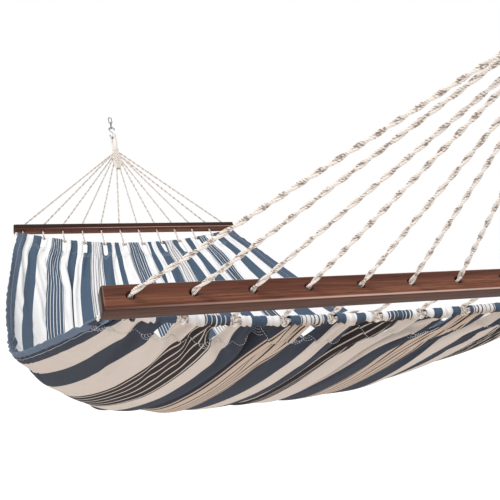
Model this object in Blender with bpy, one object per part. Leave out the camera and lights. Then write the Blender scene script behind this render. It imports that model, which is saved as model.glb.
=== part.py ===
"""Garden hammock: a striped cloth bed held open by two drilled wooden bars.

Twelve ropes at each end run from the cloth's hem through the bar to a woven clew, whose loop hangs
on an S-hook and two chain links. The near and far ends are alike. Units are metres and +Z is up.
The origin is where the near support bears inside the near top link, +Y runs towards the far support
and +X runs along the bars.
"""

import math

import bmesh
import bpy
from mathutils import Vector

# Driving dimensions
PITCH = 0.080                      # between rope holes along a bar
ROPES = 12                         # at each end
BAR_SPAN = 27.8 * PITCH            # from bar to bar, between their centres
HARNESS_ANGLE = math.radians(49.5)  # ropes, hook and chain rise at this angle to the horizontal
HOLE_ANGLE = math.radians(41.0)    # a bar's holes rise outwards at this angle

BAR_LENGTH = 11.9 * PITCH
BAR_WIDTH = 0.037                  # of the face that the holes open on
BAR_DEPTH = 0.028                  # along the holes
BAR_EDGE = 0.005                   # radius of its long and end edges
HOLE_RADIUS = 0.0055
HOLE_SIDES = 12

ROPE_RADIUS = 0.0035
ROPE_BEND = 0.012                  # radius of the turn where a rope leaves its hole
ROPE_TAIL = 0.009                  # length of rope left past its turn round the hem cord
ROPE_MOUTH = 0.001                 # a rope runs straight for this length before it enters its hole
HEM_CORD_RADIUS = 0.004
KNOT_SWELL = 2.0                   # the hem cord's end knots, as a share of its radius
KNOT_TIP = 1.2                     # the cord's cut end beyond a knot, likewise
KNOT_REACH = 0.014                 # a knot starts this far past the cloth and is as long
ROPE_SHORT = 0.0015                # a rope stops this far before it would meet the clew
GAP = 0.0004                       # between pieces that touch
FOLD_GAP = 0.0008                  # between layers that are folded or wrapped round each other

# The clew and its loop, by distance from the bar's centre along the harness
CLEW_START = 0.352
CLEW_PROFILE = ((0.352, 0.0110), (0.376, 0.0180), (0.404, 0.0215), (0.432, 0.0200), (0.455, 0.0140),
                (0.475, 0.0125))   # distance, half width
CLEW_HALF_DEPTH = 0.0090
CLEW_PLIES = 0.0045                # ropes enter it by turns in front of and behind its middle
CLEW_SIDES = 12
ROPE_AIM = 0.440                   # the middle ropes run towards this point of the clew's axis
ROPE_AIM_OUTER = 0.460             # and the outermost ones towards this one
LOOP_RADIUS = 0.0065               # of the bundle of rope that makes the loop
LOOP_ARCH = 0.0140                 # radius of the loop's crown
LOOP_FEET = 0.0070                 # half the distance between its legs at the clew
LOOP_STRAIGHT = 0.006              # its legs leave the clew straight for this length
LOOP_TWIST = math.radians(70.0)    # the crown is turned by this against the clew

# S-hook and chain
HOOK_WIRE = 0.0030                 # radius
HOOK_CURL = 0.0125                 # radius of its curls, to the middle of the wire
HOOK_LENGTH = 0.073
HOOK_FOOT = 0.544                  # its lowest point, by distance from the bar's centre
HOOK_TIP_TURN = math.radians(25.0)  # how far a curl runs past half a turn
LINK_WIRE = 0.00225
LINK_INNER_LENGTH = 0.035
LINK_INNER_WIDTH = 0.0095

# Cloth
CLOTH = 0.0025                     # thickness
HALF_WIDTH_HEM = 5.70 * PITCH      # of the bed at its hems
HALF_WIDTH_MIDDLE = 6.80 * PITCH
SAG_MIDDLE = 5.45 * PITCH
SAG_EDGE = 3.15 * PITCH
DROP = 0.05 * PITCH                # of the whole bed below the bars' centres
SAG_POWER_MIDDLE = 1.40
SAG_POWER_EDGE = 0.96
SAG_ROUNDING = 0.28                # rounds off the bottom of the sag
TROUGH_POWER = 4.05                # a flat bottom and steep sides
HEM_INSET_EDGE = 0.35 * PITCH      # from the bar's centre to the hem
HEM_INSET_MIDDLE = 1.10 * PITCH
SLEEVE_RADIUS = 0.0066             # of the fold round the hem cord, to the middle of the cloth
SLEEVE_DEPTH = 0.075               # of the hem, and of its slots
SLOT_HALF = 0.0090                 # half the width of a slot
BED_ROWS = (0.0, 0.0183, 0.0366, 0.060, 0.095, 0.14, 0.21, 0.30, 0.40, 0.50)  # as shares of its length

# From a bar's centre along the harness
HOOK_TOP = HOOK_FOOT + HOOK_LENGTH - 2 * HOOK_WIRE - GAP   # inner foot of the lower link
TOP_LINK_FOOT = HOOK_TOP + LINK_INNER_LENGTH - GAP
TOTAL_REACH = TOP_LINK_FOOT + LINK_INNER_LENGTH
OUT = Vector((0.0, -math.cos(HARNESS_ANGLE), math.sin(HARNESS_ANGLE)))   # along the near harness
ACROSS = Vector((1.0, 0.0, 0.0))
UPRIGHT = Vector((0.0, math.sin(HARNESS_ANGLE), math.cos(HARNESS_ANGLE)))  # square to both
HOLE_OUT = Vector((0.0, -math.cos(HOLE_ANGLE), math.sin(HOLE_ANGLE)))
BAR_CENTRE = -TOTAL_REACH * OUT    # of the near bar
CENTRE_LINE = BAR_CENTRE.y + BAR_SPAN / 2

ENDS = ("near", "far")
COLOURS = {
    "wood": ((0.090, 0.030, 0.015), 0.45, 0.0),
    "rope": ((0.74, 0.66, 0.58), 0.90, 0.0),
    "cloth": ((0.60, 0.62, 0.66), 0.90, 0.0),
    "zinc": ((0.62, 0.63, 0.64), 0.35, 1.0),
}


def clear_scene():
    for obj in list(bpy.data.objects):
        bpy.data.objects.remove(obj, do_unlink=True)


def make_materials():
    made = {}
    for name, (colour, roughness, metallic) in COLOURS.items():
        material = bpy.data.materials.new(name)
        material.use_nodes = True
        shader = material.node_tree.nodes["Principled BSDF"]
        shader.inputs["Base Color"].default_value = (*colour, 1.0)
        shader.inputs["Roughness"].default_value = roughness
        shader.inputs["Metallic"].default_value = metallic
        made[name] = material
    return made


def add_object(name, data, material, parent):
    """Links an object whose data is in world coordinates, under an empty that stays where it is."""
    obj = bpy.data.objects.new(name, data)
    bpy.context.scene.collection.objects.link(obj)
    data.materials.append(material)
    if parent is not None:
        obj.parent = parent
        obj.matrix_parent_inverse = parent.matrix_world.inverted()
    return obj


def add_pivot(name, location, parent):
    """An empty on a joint's axis."""
    pivot = bpy.data.objects.new(name, None)
    bpy.context.scene.collection.objects.link(pivot)
    if parent is not None:
        pivot.parent = parent
        location = location - parent.matrix_world.translation
    pivot.location = location
    bpy.context.view_layer.update()
    return pivot


def at(end, point):
    """A point of the near end, or its mirror image at the far end."""
    if end == "near":
        return point
    return Vector((point.x, 2 * CENTRE_LINE - point.y, point.z))


def along(distance, across=0.0, upright=0.0):
    """A point of the near harness, by its distance from the bar's centre."""
    return BAR_CENTRE + distance * OUT + across * ACROSS + upright * UPRIGHT


def tube(name, points, radius, material, parent, closed=False, sides=8, swells=None):
    """A round tube along a line of points. swells are its radius at each point, as a share."""
    curve = bpy.data.curves.new(name, "CURVE")
    curve.dimensions = "3D"
    curve.bevel_depth = radius
    curve.bevel_resolution = sides // 2 - 2
    curve.use_fill_caps = not closed
    curve.render_resolution_u = 0
    spline = curve.splines.new("POLY")
    spline.points.add(len(points) - 1)
    for index, point in enumerate(points):
        spline.points[index].co = (*point, 1.0)
        spline.points[index].radius = swells[index] if swells else 1.0
    spline.use_cyclic_u = closed
    return add_object(name, curve, material, parent)


def mesh_object(name, verts, faces, material, parent):
    mesh = bpy.data.meshes.new(name)
    mesh.from_pydata([tuple(v) for v in verts], [], faces)
    shape = bmesh.new()
    shape.from_mesh(mesh)
    bmesh.ops.recalc_face_normals(shape, faces=shape.faces)
    shape.to_mesh(mesh)
    shape.free()
    return add_object(name, mesh, material, parent)


# ---------------------------------------------------------------- the cloth's surface

def sag_share(t, power):
    """0 at the bars and 1 midway, for t from 0 to 1 along the hammock."""
    def rounded(tau):
        return (tau * tau + SAG_ROUNDING ** 2) ** (power / 2)
    return 1 - (rounded(2 * t - 1) - rounded(0.0)) / (rounded(1.0) - rounded(0.0))


def hem_inset(u):
    """How far the hem is from the bar's centre, along +Y."""
    return HEM_INSET_EDGE + (HEM_INSET_MIDDLE - HEM_INSET_EDGE) * (1 - u * u)


def half_width_at(t):
    return HALF_WIDTH_HEM + (HALF_WIDTH_MIDDLE - HALF_WIDTH_HEM) * math.sin(math.pi * t)


def bed_point(u, share):
    """A point of the bed's surface: u from -1 to 1 across, share from 0 to 1 from hem to hem."""
    inset = hem_inset(u)
    y = inset + (BAR_SPAN - 2 * inset) * share
    t = y / BAR_SPAN
    half_width = half_width_at(t)
    middle = -SAG_MIDDLE * sag_share(t, SAG_POWER_MIDDLE)
    edge = -SAG_EDGE * sag_share(t, SAG_POWER_EDGE)
    z = middle + (edge - middle) * abs(u) ** TROUGH_POWER - DROP
    return BAR_CENTRE + Vector((u * half_width, y, z))


def hem_frame(u):
    """At the near hem: a point of the fold, the way into the bed and the way up from the cloth."""
    step = 0.002
    start = bed_point(u, 0.0)
    inward = (bed_point(u, step) - start).normalized()
    sideways = (bed_point(u + step, 0.0) - bed_point(u - step, 0.0)).normalized()
    up = sideways.cross(inward).normalized()
    return start, inward, up


def hem_cord_point(u):
    start, inward, up = hem_frame(u)
    return start - up * SLEEVE_RADIUS


def rope_x(index):
    return (index - (ROPES - 1) / 2) * PITCH


def slot_places():
    """u of each rope at the hem, where it comes straight from its hole."""
    places = []
    for index in range(ROPES):
        u = rope_x(index) / HALF_WIDTH_HEM
        for _ in range(4):
            u = rope_x(index) / half_width_at(hem_inset(u) / BAR_SPAN)
        places.append(u)
    return places


def column_edges():
    """u of each line of the cloth's grid, and whether the column after it is a slot."""
    half = SLOT_HALF / HALF_WIDTH_HEM
    edges = [-1.0]
    is_slot = []
    for place in slot_places():
        edges += [place - half, place + half]
        is_slot += [False, True]
    edges.append(1.0)
    is_slot.append(False)
    return edges, is_slot


def sleeve_section(u):
    """The near hem's fold at u, from the cloth round the cord and back under the cloth."""
    start, inward, up = hem_frame(u)
    centre = start - up * SLEEVE_RADIUS
    section = []
    for degrees in (45, 90, 135, 180):      # round the cord's front and underside
        turn = math.radians(degrees)
        section.append(centre + SLEEVE_RADIUS * (math.cos(turn) * up - math.sin(turn) * inward))
    under = CLOTH + FOLD_GAP
    for depth in (0.5 * SLEEVE_DEPTH, SLEEVE_DEPTH):
        share = depth / (BAR_SPAN - 2 * HEM_INSET_MIDDLE)
        section.append(bed_point(u, share) - up * under)
    return section


def build_bed(material, parent):
    """The cloth with its two hems, folded round the hem cords and slotted for the ropes."""
    edges, is_slot = column_edges()
    shares = list(BED_ROWS) + [1 - share for share in reversed(BED_ROWS[:-1])]
    verts = []
    faces = []
    grid = {}
    for row, share in enumerate(shares):
        for column, u in enumerate(edges):
            grid[row, column] = len(verts)
            verts.append(bed_point(u, share))
    slot_rows = 2
    last = len(shares) - 1
    for row in range(last):
        in_hem = row < slot_rows or row >= last - slot_rows
        for column, slotted in enumerate(is_slot):
            if not (in_hem and slotted):
                faces.append((grid[row, column], grid[row, column + 1],
                              grid[row + 1, column + 1], grid[row + 1, column]))
    for end, hem_row in (("near", 0), ("far", last)):
        for column, slotted in enumerate(is_slot):
            if slotted:
                continue
            left, right = grid[hem_row, column], grid[hem_row, column + 1]
            for a, b in zip(sleeve_section(edges[column]), sleeve_section(edges[column + 1])):
                verts += [at(end, a), at(end, b)]
                faces.append((left, right, len(verts) - 1, len(verts) - 2))
                left, right = len(verts) - 2, len(verts) - 1
    bed = mesh_object("bed_cloth", verts, faces, material, parent)
    thicken = bed.modifiers.new("thickness", "SOLIDIFY")
    thicken.thickness = CLOTH
    thicken.offset = 0.0
    thicken.use_even_offset = True
    return bed


def build_hem_cord(end, material, parent):
    """The cord inside a hem, with a stopper knot past each side of the cloth."""
    edges, _ = column_edges()
    beyond = KNOT_REACH / HALF_WIDTH_HEM
    places = ([-1 - 2 * beyond, -1 - 1.5 * beyond, -1 - beyond] + edges
              + [1 + beyond, 1 + 1.5 * beyond, 1 + 2 * beyond])
    swells = [KNOT_TIP, KNOT_SWELL, 1.0] + [1.0] * len(edges) + [1.0, KNOT_SWELL, KNOT_TIP]
    points = [at(end, hem_cord_point(u)) for u in places]
    return tube(f"{end}_hem_cord", points, HEM_CORD_RADIUS, material, parent, swells=swells)


# ---------------------------------------------------------------- bars and ropes

def build_bar(end, material, parent):
    """A hardwood bar with rounded edges and twelve drilled holes."""
    mesh = bpy.data.meshes.new(f"{end}_spreader_bar")
    shape = bmesh.new()
    bmesh.ops.create_cube(shape, size=1.0)
    bmesh.ops.scale(shape, vec=(BAR_LENGTH, BAR_DEPTH, BAR_WIDTH), verts=shape.verts)
    shape.to_mesh(mesh)
    shape.free()
    bar = add_object(f"{end}_spreader_bar", mesh, material, None)
    bevel = bar.modifiers.new("rounded_edges", "BEVEL")
    bevel.width = BAR_EDGE
    bevel.segments = 3
    bevel.limit_method = "NONE"

    drills = bpy.data.meshes.new(f"{end}_drills")
    shape = bmesh.new()
    for index in range(ROPES):
        made = bmesh.ops.create_cone(shape, cap_ends=True, segments=HOLE_SIDES, depth=4 * BAR_DEPTH,
                                     radius1=HOLE_RADIUS, radius2=HOLE_RADIUS)
        for vert in made["verts"]:
            x, y, z = vert.co
            vert.co = Vector((x + rope_x(index), z, -y))
    shape.to_mesh(drills)
    shape.free()
    cutter = bpy.data.objects.new(f"{end}_drills", drills)
    bpy.context.scene.collection.objects.link(cutter)
    cutter.hide_render = True
    cutter.display_type = "WIRE"
    drilled = bar.modifiers.new("rope_holes", "BOOLEAN")
    drilled.operation = "DIFFERENCE"
    drilled.solver = "EXACT"
    drilled.object = cutter

    tilt = -HOLE_ANGLE if end == "near" else HOLE_ANGLE
    for obj in (bar, cutter):
        obj.parent = parent
        obj.rotation_euler = (tilt, 0.0, 0.0)
    return bar


def clew_half_width(distance):
    """Half the clew's width at a distance from the bar's centre, or 0 outside it."""
    for (d0, w0), (d1, w1) in zip(CLEW_PROFILE, CLEW_PROFILE[1:]):
        if d0 <= distance <= d1:
            return w0 + (w1 - w0) * (distance - d0) / (d1 - d0)
    return 0.0


def rope_end(corner, aim):
    """How far a rope runs from its corner towards its aim before it meets the clew."""
    way = aim - corner
    length = way.length
    direction = way / length
    slope = abs(direction.x)
    steps = 1000
    for step in range(steps):
        run = length * step / steps
        point = corner + direction * run
        distance = (point - BAR_CENTRE).dot(OUT)
        reach = distance + ROPE_RADIUS * slope + GAP
        side = abs(point.x) - ROPE_RADIUS * direction.dot(OUT)
        if reach >= CLEW_START and side <= clew_half_width(reach) + GAP:
            return corner + direction * (run - ROPE_SHORT)
    return aim


def rope_route(index):
    """A near rope's line: from its tail round the hem cord, through the bar and up to the clew."""
    x = rope_x(index)
    cord = hem_cord_point(slot_places()[index])
    cord.x = x + BAR_CENTRE.x
    mouth_in = BAR_CENTRE + Vector((x, 0, 0)) - HOLE_OUT * (BAR_DEPTH / 2 + ROPE_MOUTH)
    mouth_out = BAR_CENTRE + Vector((x, 0, 0)) + HOLE_OUT * (BAR_DEPTH / 2)
    bight = HEM_CORD_RADIUS + ROPE_RADIUS + FOLD_GAP
    away = (cord - mouth_in).normalized()
    up = ACROSS.cross(away).normalized()
    points = [cord - up * bight - away * ROPE_TAIL]
    for degrees in (180, 144, 108, 72, 36, 0):
        turn = math.radians(degrees)
        points.append(cord + bight * (math.cos(turn) * up + math.sin(turn) * away))
    points += [mouth_in, mouth_out]
    outer_share = (abs(index - (ROPES - 1) / 2) - 0.5) / (ROPES / 2 - 1)
    front_or_back = CLEW_PLIES if index % 2 else -CLEW_PLIES
    aim = along(ROPE_AIM + (ROPE_AIM_OUTER - ROPE_AIM) * outer_share, 0.0, front_or_back)
    goal = (aim - mouth_out).normalized()
    angle = HOLE_OUT.angle(goal)
    side = (goal - HOLE_OUT * HOLE_OUT.dot(goal)).normalized()
    bends = 4
    for number in range(1, bends + 1):
        turn = angle * number / bends
        bend = (HOLE_OUT * math.sin(turn) + side * (1 - math.cos(turn))) * ROPE_BEND
        points.append(mouth_out + bend)
    points.append(rope_end(points[-1], aim))
    return points


def build_ropes(end, material, parent):
    for index in range(ROPES):
        points = [at(end, point) for point in rope_route(index)]
        tube(f"{end}_rope_{index + 1:02d}", points, ROPE_RADIUS, material, parent, sides=6)


# ---------------------------------------------------------------- clew, loop, hook and chain

def build_clew(end, material, parent):
    """The weave that gathers the ropes, as one flattened spindle."""
    verts = []
    faces = []
    for distance, half_width in CLEW_PROFILE:
        half_depth = min(half_width, CLEW_HALF_DEPTH)
        for side in range(CLEW_SIDES):
            turn = 2 * math.pi * side / CLEW_SIDES
            point = along(distance, half_width * math.cos(turn), half_depth * math.sin(turn))
            verts.append(at(end, point))
    for ring in range(len(CLEW_PROFILE) - 1):
        for side in range(CLEW_SIDES):
            a = ring * CLEW_SIDES + side
            b = ring * CLEW_SIDES + (side + 1) % CLEW_SIDES
            faces.append((a, b, b + CLEW_SIDES, a + CLEW_SIDES))
    faces.append(tuple(range(CLEW_SIDES)))
    faces.append(tuple(range(len(verts) - CLEW_SIDES, len(verts))))
    return mesh_object(f"{end}_clew", verts, faces, material, parent)


def build_loop(end, material, parent):
    """The rope loop above the clew: its legs twist as they rise to a round crown."""
    foot = CLEW_PROFILE[-1][0] + GAP
    crown = HOOK_FOOT + 2 * HOOK_WIRE + GAP + LOOP_RADIUS - LOOP_ARCH
    straight = foot + LOOP_STRAIGHT
    leg = [(share, straight + (crown - straight) * share) for share in (0.0, 0.25, 0.5, 0.75, 1.0)]
    line = [(LOOP_FEET, foot, 0.0)]
    for share, distance in leg:
        ease = share * share * (3 - 2 * share)
        line.append((LOOP_FEET + (LOOP_ARCH - LOOP_FEET) * ease, distance, LOOP_TWIST * ease))
    for degrees in (22.5, 45, 67.5, 90):
        turn = math.radians(degrees)
        line.append((LOOP_ARCH * math.cos(turn), crown + LOOP_ARCH * math.sin(turn), LOOP_TWIST))
    points = []
    for sign, run in ((1, line), (-1, line[-2::-1])):
        for sideways, distance, twist in run:
            points.append(at(end, along(distance, sign * sideways * math.cos(twist),
                                        sign * sideways * math.sin(twist))))
    return tube(f"{end}_loop", points, LOOP_RADIUS, material, parent)


def build_hook(end, material, parent):
    """An S-hook: two curls of wire joined by a slanting shank."""
    foot = HOOK_FOOT + HOOK_WIRE + HOOK_CURL
    between = HOOK_LENGTH - 2 * HOOK_WIRE - 2 * HOOK_CURL
    lean = math.asin(2 * HOOK_CURL / between)
    half = []
    steps = 12
    sweep = HOOK_TIP_TURN + math.pi + lean
    for step in range(steps + 1):
        turn = lean - sweep * (1 - step / steps)
        half.append((HOOK_CURL * math.cos(turn), foot + HOOK_CURL * math.sin(turn)))
    middle = foot + between / 2
    points = [along(distance, sideways) for sideways, distance in half]
    points += [along(2 * middle - distance, -sideways) for sideways, distance in reversed(half)]
    return tube(f"{end}_s_hook", [at(end, p) for p in points], HOOK_WIRE, material, parent)


def link_points(start, wide):
    """A chain link's line, from its inner foot up the harness, wide across or upright."""
    radius = LINK_INNER_WIDTH / 2 + LINK_WIRE
    low = start + LINK_INNER_WIDTH / 2
    high = start + LINK_INNER_LENGTH - LINK_INNER_WIDTH / 2
    points = []
    for centre, first in ((high, 0), (low, 180)):
        for step in range(9):
            turn = math.radians(first + 22.5 * step)
            offset = radius * math.cos(turn)
            distance = centre + radius * math.sin(turn)
            if wide == "across":
                points.append(along(distance, offset))
            else:
                points.append(along(distance, 0.0, offset))
    return points


def main():
    clear_scene()
    materials = make_materials()
    wood, rope, cloth, zinc = (materials[name] for name in ("wood", "rope", "cloth", "zinc"))

    link_axis = along(TOP_LINK_FOOT + LINK_INNER_WIDTH / 2)
    hook_axis = along(HOOK_TOP - LINK_WIRE)
    bed_axis = along(HOOK_FOOT + HOOK_WIRE + HOOK_CURL)

    pivots = {}
    for end in ENDS:
        pivots[end, "link"] = add_pivot(f"{end}_link_pivot", at(end, link_axis), None)
        pivots[end, "hook"] = add_pivot(f"{end}_hook_pivot", at(end, hook_axis), pivots[end, "link"])
    bed_pivot = add_pivot("bed_pivot", bed_axis, pivots["near", "hook"])
    for end in ENDS:
        pivots[end, "bar"] = add_pivot(f"{end}_bar_pivot", at(end, BAR_CENTRE), bed_pivot)

    for end in ENDS:
        top = [at(end, p) for p in link_points(TOP_LINK_FOOT, "across")]
        lower = [at(end, p) for p in link_points(HOOK_TOP, "upright")]
        tube(f"{end}_top_link", top, LINK_WIRE, zinc, None, closed=True)
        tube(f"{end}_lower_link", lower, LINK_WIRE, zinc, pivots[end, "link"], closed=True)
        build_hook(end, zinc, pivots[end, "hook"])
        build_loop(end, rope, bed_pivot)
        build_clew(end, rope, bed_pivot)
        build_ropes(end, rope, bed_pivot)
        build_hem_cord(end, rope, bed_pivot)
        build_bar(end, wood, pivots[end, "bar"])
    build_bed(cloth, bed_pivot)


main()
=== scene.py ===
"""Looks of a striped cloth hammock with wooden spreader bars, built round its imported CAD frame.

Metres and +Z up, as in the frame: the origin is where the near support bears inside the near top
link, +Y runs towards the far support and +X along the bars. The near and far ends are alike.
"""

import math

import bmesh
import bpy
import numpy as np
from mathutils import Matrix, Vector


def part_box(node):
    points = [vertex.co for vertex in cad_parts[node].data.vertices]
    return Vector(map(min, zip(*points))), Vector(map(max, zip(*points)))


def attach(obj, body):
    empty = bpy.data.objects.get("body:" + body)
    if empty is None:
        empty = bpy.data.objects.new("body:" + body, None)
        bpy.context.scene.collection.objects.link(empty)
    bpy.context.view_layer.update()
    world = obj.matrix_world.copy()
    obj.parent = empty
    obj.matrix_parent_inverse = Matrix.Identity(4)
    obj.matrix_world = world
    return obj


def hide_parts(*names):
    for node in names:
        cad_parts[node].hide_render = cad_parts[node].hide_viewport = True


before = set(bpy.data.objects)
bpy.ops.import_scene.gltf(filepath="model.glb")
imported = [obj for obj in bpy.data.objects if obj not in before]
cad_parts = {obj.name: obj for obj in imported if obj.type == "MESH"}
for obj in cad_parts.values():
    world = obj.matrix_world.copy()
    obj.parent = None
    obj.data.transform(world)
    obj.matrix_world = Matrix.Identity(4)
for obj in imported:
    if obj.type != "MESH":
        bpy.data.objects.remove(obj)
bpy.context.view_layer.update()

# ---------------------------------------------------------------- sizes shared with the CAD model

PITCH = 0.080                      # between rope holes along a bar
ROPES = 12                         # at each end
BAR_SPAN = 27.8 * PITCH
HARNESS_ANGLE = math.radians(49.5)
HOLE_ANGLE = math.radians(41.0)
BAR_LENGTH = 11.9 * PITCH
BAR_WIDTH = 0.037
BAR_DEPTH = 0.028
BAR_EDGE = 0.005
HOLE_RADIUS = 0.0055
ROPE_BEND = 0.012
HEM_CORD_RADIUS = 0.004
# The clew's half width, by distance from the bar's centre
CLEW_PROFILE = ((0.352, 0.0110), (0.376, 0.0180), (0.404, 0.0215), (0.432, 0.0200), (0.455, 0.0140),
                (0.475, 0.0125))
CLEW_HALF_DEPTH = 0.0090
CLEW_PLIES = 0.0045
ROPE_AIM = 0.440
ROPE_AIM_OUTER = 0.460
LOOP_RADIUS = 0.0065
LOOP_ARCH = 0.0140
LOOP_FEET = 0.0070
LOOP_STRAIGHT = 0.006
LOOP_TWIST = math.radians(70.0)
HOOK_WIRE = 0.0030
HOOK_CURL = 0.0125
HOOK_LENGTH = 0.073
HOOK_FOOT = 0.544
HOOK_TIP_TURN = math.radians(25.0)
LINK_WIRE = 0.00225
LINK_INNER_LENGTH = 0.035
LINK_INNER_WIDTH = 0.0095
GAP = 0.0004

HALF_WIDTH_HEM = 5.70 * PITCH
HALF_WIDTH_MIDDLE = 6.80 * PITCH
SAG_MIDDLE = 5.45 * PITCH
SAG_EDGE = 3.15 * PITCH
DROP = 0.05 * PITCH
SAG_POWER_MIDDLE = 1.40
SAG_POWER_EDGE = 0.96
SAG_ROUNDING = 0.28
TROUGH_POWER = 4.05
HEM_INSET_EDGE = 0.35 * PITCH
HEM_INSET_MIDDLE = 1.10 * PITCH
SLEEVE_RADIUS = 0.0066
SLEEVE_DEPTH = 0.075
SLOT_HALF = 0.0090

HOOK_TOP = HOOK_FOOT + HOOK_LENGTH - 2 * HOOK_WIRE - GAP
TOP_LINK_FOOT = HOOK_TOP + LINK_INNER_LENGTH - GAP
TOTAL_REACH = TOP_LINK_FOOT + LINK_INNER_LENGTH
OUT = np.array([0.0, -math.cos(HARNESS_ANGLE), math.sin(HARNESS_ANGLE)])
ACROSS = np.array([1.0, 0.0, 0.0])
UPRIGHT = np.array([0.0, math.sin(HARNESS_ANGLE), math.cos(HARNESS_ANGLE)])
HOLE_OUT = np.array([0.0, -math.cos(HOLE_ANGLE), math.sin(HOLE_ANGLE)])
BAR_CENTRE = -TOTAL_REACH * OUT
CENTRE_LINE = BAR_CENTRE[1] + BAR_SPAN / 2
ENDS = ("near", "far")

# ---------------------------------------------------------------- sizes of the looks only

PLY_RADIUS = 0.0021                # a rope is two plies twisted together
PLY_TWIST = 0.0018                 # from the rope's middle to a ply's
PLY_SIDES = 10
ROPE_LAY = 0.052                   # length of one full turn of the two plies
ROPE_STEP = 0.0018                 # between the points of a rope's line
YARNS = 3                          # in a ply
YARN_LAY = 0.011                   # length of one full turn of them
YARN_DEPTH = 0.22                  # of the grooves between them, as a share of the ply's radius
HITCH_TURNS = 1.8                  # of a rope round its hem cord
HITCH_WIDTH = 0.0056
HITCH_RADIUS = 0.0019
KNOT_RADIUS = 0.0030               # of the cord in a knot
KNOT_SIZE = 0.0032
KNOT_PAST = 0.007                  # from the cloth's edge to a knot
CLEW_STRANDS = 7                   # in each of the weave's two families
CLEW_STRAND_RADIUS = 0.0026
CLEW_TURNS = 1.15                  # of each cord round the clew
CLEW_WEAVE = 0.0011                # how far its cords go over and under each other
CLEW_CORDS_IN, CLEW_CORE_IN = 0.0022, 0.0035    # depths of the cords and of the core under its surface
WHIPPING_RADIUS = 0.0014

CLOTH_THICK = 0.0012
FLAT_HALF = 0.650                  # half of the cloth's width before it was gathered
SLOTS_FLAT = (0.060, 0.181, 0.300, 0.413, 0.530, 0.631)   # from the middle, on the flat cloth
SLOTS = np.array(sorted([-place for place in SLOTS_FLAT] + list(SLOTS_FLAT)))
CUT_HALF = 0.0080                  # half the width cut out of the flat cloth for a slot
CUT_CELLS = 3                      # columns of the grid in that width
CELL = 0.0052                      # width of its other columns
SLOT_STRETCH = {"near": 1.25, "far": 1.06}   # a slot's length and width as shares of the CAD model's
SLOT_PUSH = 10                     # columns beside an open slot that it pushes aside
# The stripes from the middle to the side edge, on the flat cloth
STRIPES = (("band", 0.037), ("white", 0.050), ("navy", 0.028), ("white", 0.033), ("navy", 0.048),
           ("lines", 0.067), ("navy", 0.043), ("white", 0.034), ("navy", 0.039), ("white", 0.035),
           ("band", 0.070), ("white", 0.051), ("navy", 0.042), ("white", 0.038), ("navy", 0.035))
STRIPE_STARTS = np.cumsum([0.0] + [width for _, width in STRIPES[:-1]])
PINSTRIPE = 0.0117                 # from line to line
PINSTRIPE_SHARE = 0.17             # of that, which the line takes
LIFT = {"near": 0.007, "far": -0.003}   # of the middle of each hem over the CAD model's
# Deep pleats, by end: the middle and half width of the cloth they take in, on the flat cloth
PLEATS = {"near": ((-0.3015, 0.0390), (-0.0390, 0.0480), (0.1175, 0.0310)),
          "far": ((-0.3600, 0.0220), (0.1010, 0.0180), (0.4600, 0.0150))}
PLEAT_TIGHTNESS = 0.86             # share of a pleat's cloth that it takes in
RIDGE = 0.0045                     # height of the small pleats that start at the slots
LEAN = 0.004                       # and how far they lean over
WOBBLE = 0.0007
GATHER = 0.0019                    # height of the gathers on the hem cord
RUFFLE = 0.0007
RUFFLE_WAVES = (0.045, 0.110)      # lengths of the ruffles along the side edges
ROUNDS, QUICK_ROUNDS = 100, 60     # of the cloth's relaxation
SAG_STEP = 0.000012                # how far the cloth falls in each round
SPEED_KEPT = 0.93                  # from one round to the next
SHEAR_FIRMNESS = 0.35              # 1 for the threads themselves
BEND_FIRMNESS = {"across": 0.12, "down": 0.25}
TAKEN_BACK = {"up": 0.35, "side": 0.03}    # of how far a round moves it off its seeded folds
HEM_TURN = range(20, 181, 20)      # degrees round the hem cord at which the cloth has a row
SIDE_HEM = 0.021
SIDE_HEM_HEIGHT = 0.0015           # of its layers over and under the sheet
SIDE_HEM_FOLD = 0.0016             # how far its fold reaches past the sheet's edge
SIDE_HEM_THICK = 0.0008
STITCH = 0.0030
STITCH_GAP = 0.0013
ARCS = (0.011, 0.016, 0.021, 0.026)     # radii of the stitching round the foot of a slot

CAMERA_PLACE = BAR_CENTRE + PITCH * np.array([-7.656, -10.963, 1.5845])
CAMERA_TILT = math.radians(85.914)
CAMERA_TURN = math.radians(-20.74)
CAMERA_LENS = 51.76
BED_CLEARANCE = 1.10               # from the floor to the lowest part of the bed
FLOOR_HALF = 60.0
FLOOR_GLOW = 0.22                  # the studio's floor is lit from inside
BACKDROP_RADIUS = 80.0


# ---------------------------------------------------------------- mesh helpers

def unit(vectors):
    return vectors / np.maximum(np.linalg.norm(vectors, axis=-1, keepdims=True), 1e-12)


def at(end, points):
    """Points of the near end, or their mirror images at the far end."""
    points = np.array(points, float)
    if end == "far":
        points[..., 1] = 2 * CENTRE_LINE - points[..., 1]
    return points


def along(distance, across=0.0, upright=0.0):
    """A point of the near harness, by its distance from the bar's centre."""
    return BAR_CENTRE + distance * OUT + across * ACROSS + upright * UPRIGHT


def round_turn(first, second, turn):
    """The unit circle's points at the angles turn, in the plane of two directions."""
    return np.cos(turn)[..., None] * first + np.sin(turn)[..., None] * second


def new_object(name, data):
    thing = bpy.data.objects.new(name, data)
    bpy.context.scene.collection.objects.link(thing)
    return thing


def quads(rows, columns, round_rows=False, round_columns=False):
    """The faces of a grid of points, row by row. Where it is round, its last line joins its first."""
    faces = []
    for row in range(rows if round_rows else rows - 1):
        for column in range(columns if round_columns else columns - 1):
            here, after = row * columns, (row + 1) % rows * columns
            beside = (column + 1) % columns
            faces.append((here + column, here + beside, after + beside, after + column))
    return faces


def caps(rows, columns):
    """The faces that close the two ends of a round grid."""
    return [tuple(range(columns)), tuple(range((rows - 1) * columns, rows * columns))]


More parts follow.
